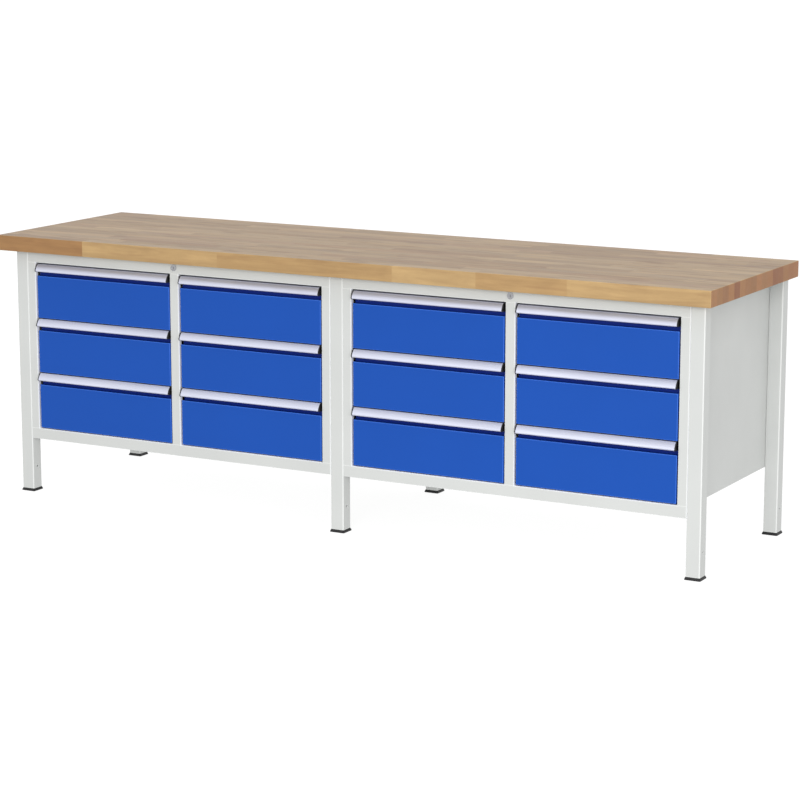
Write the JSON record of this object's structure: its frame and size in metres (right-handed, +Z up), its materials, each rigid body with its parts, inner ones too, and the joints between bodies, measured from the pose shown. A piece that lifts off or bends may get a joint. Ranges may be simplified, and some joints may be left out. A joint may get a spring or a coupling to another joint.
{
  "type": "workbench with drawers",
  "caption": "Long workshop bench with a thick wooden top, square steel legs and two cabinets of roller drawers with full-width grips and a lock each.",
  "frame": {"origin": "on the floor, at the middle of the whole bench's length and depth", "axes": "+X along the bench to the right as seen from the drawer side, -Y towards the person at the drawers, +Z up"},
  "size_m": [2.5, 0.718, 0.86],
  "materials": {
    "worktop": "oiled",
    "frame": "satin powder coat",
    "cabinet": "satin powder coat",
    "drawer_box": "satin powder coat",
    "drawer_front": "satin powder coat",
    "grip": "satin anodised",
    "grip_cap": "matte",
    "foot_cap": "matte",
    "slide": "zinc plated",
    "lock": "satin nickel",
    "fastener": "zinc plated"
  },
  "bodies": {
    "frame": {"worktop": "worktop", "left_leg_frame": "frame", "middle_leg_frame": "frame", "right_leg_frame": "frame", "foot_caps": "foot_cap", "left_cabinet": "cabinet", "right_cabinet": "cabinet", "slide_rails": "slide", "lock_housings": "lock", "fasteners": "fastener"},
    "left_lock": {"left_lock_core": "lock"},
    "right_lock": {"right_lock_core": "lock"},
    "drawer_a1": {"drawer_a1_box": "drawer_box", "drawer_a1_front": "drawer_front", "drawer_a1_grip": "grip", "drawer_a1_caps": "grip_cap"},
    "drawer_a2": {"drawer_a2_box": "drawer_box", "drawer_a2_front": "drawer_front", "drawer_a2_grip": "grip", "drawer_a2_caps": "grip_cap"},
    "drawer_a3": {"drawer_a3_box": "drawer_box", "drawer_a3_front": "drawer_front", "drawer_a3_grip": "grip", "drawer_a3_caps": "grip_cap"},
    "drawer_b1": {"drawer_b1_box": "drawer_box", "drawer_b1_front": "drawer_front", "drawer_b1_grip": "grip", "drawer_b1_caps": "grip_cap"},
    "drawer_b2": {"drawer_b2_box": "drawer_box", "drawer_b2_front": "drawer_front", "drawer_b2_grip": "grip", "drawer_b2_caps": "grip_cap"},
    "drawer_b3": {"drawer_b3_box": "drawer_box", "drawer_b3_front": "drawer_front", "drawer_b3_grip": "grip", "drawer_b3_caps": "grip_cap"},
    "drawer_c1": {"drawer_c1_box": "drawer_box", "drawer_c1_front": "drawer_front", "drawer_c1_grip": "grip", "drawer_c1_caps": "grip_cap"},
    "drawer_c2": {"drawer_c2_box": "drawer_box", "drawer_c2_front": "drawer_front", "drawer_c2_grip": "grip", "drawer_c2_caps": "grip_cap"},
    "drawer_c3": {"drawer_c3_box": "drawer_box", "drawer_c3_front": "drawer_front", "drawer_c3_grip": "grip", "drawer_c3_caps": "grip_cap"},
    "drawer_d1": {"drawer_d1_box": "drawer_box", "drawer_d1_front": "drawer_front", "drawer_d1_grip": "grip", "drawer_d1_caps": "grip_cap"},
    "drawer_d2": {"drawer_d2_box": "drawer_box", "drawer_d2_front": "drawer_front", "drawer_d2_grip": "grip", "drawer_d2_caps": "grip_cap"},
    "drawer_d3": {"drawer_d3_box": "drawer_box", "drawer_d3_front": "drawer_front", "drawer_d3_grip": "grip", "drawer_d3_caps": "grip_cap"}
  },
  "joints": [
    {"name": "drawer_a1_slide", "type": "slide", "parent": "frame", "child": "drawer_a1", "axis": [0, -1, 0], "range_m": [0, 0.48]},
    {"name": "drawer_a2_slide", "type": "slide", "parent": "frame", "child": "drawer_a2", "axis": [0, -1, 0], "range_m": [0, 0.48]},
    {"name": "drawer_a3_slide", "type": "slide", "parent": "frame", "child": "drawer_a3", "axis": [0, -1, 0], "range_m": [0, 0.48]},
    {"name": "drawer_b1_slide", "type": "slide", "parent": "frame", "child": "drawer_b1", "axis": [0, -1, 0], "range_m": [0, 0.48]},
    {"name": "drawer_b2_slide", "type": "slide", "parent": "frame", "child": "drawer_b2", "axis": [0, -1, 0], "range_m": [0, 0.48]},
    {"name": "drawer_b3_slide", "type": "slide", "parent": "frame", "child": "drawer_b3", "axis": [0, -1, 0], "range_m": [0, 0.48]},
    {"name": "drawer_c1_slide", "type": "slide", "parent": "frame", "child": "drawer_c1", "axis": [0, -1, 0], "range_m": [0, 0.48]},
    {"name": "drawer_c2_slide", "type": "slide", "parent": "frame", "child": "drawer_c2", "axis": [0, -1, 0], "range_m": [0, 0.48]},
    {"name": "drawer_c3_slide", "type": "slide", "parent": "frame", "child": "drawer_c3", "axis": [0, -1, 0], "range_m": [0, 0.48]},
    {"name": "drawer_d1_slide", "type": "slide", "parent": "frame", "child": "drawer_d1", "axis": [0, -1, 0], "range_m": [0, 0.48]},
    {"name": "drawer_d2_slide", "type": "slide", "parent": "frame", "child": "drawer_d2", "axis": [0, -1, 0], "range_m": [0, 0.48]},
    {"name": "drawer_d3_slide", "type": "slide", "parent": "frame", "child": "drawer_d3", "axis": [0, -1, 0], "range_m": [0, 0.48]},
    {"name": "left_lock_turn", "type": "hinge", "parent": "frame", "child": "left_lock", "pos_m": [-0.59575, -0.309, 0.79025], "axis": [0, 1, 0], "range_deg": [0, 90]},
    {"name": "right_lock_turn", "type": "hinge", "parent": "frame", "child": "right_lock", "pos_m": [0.59575, -0.309, 0.79025], "axis": [0, 1, 0], "range_deg": [0, 90]}
  ]
}
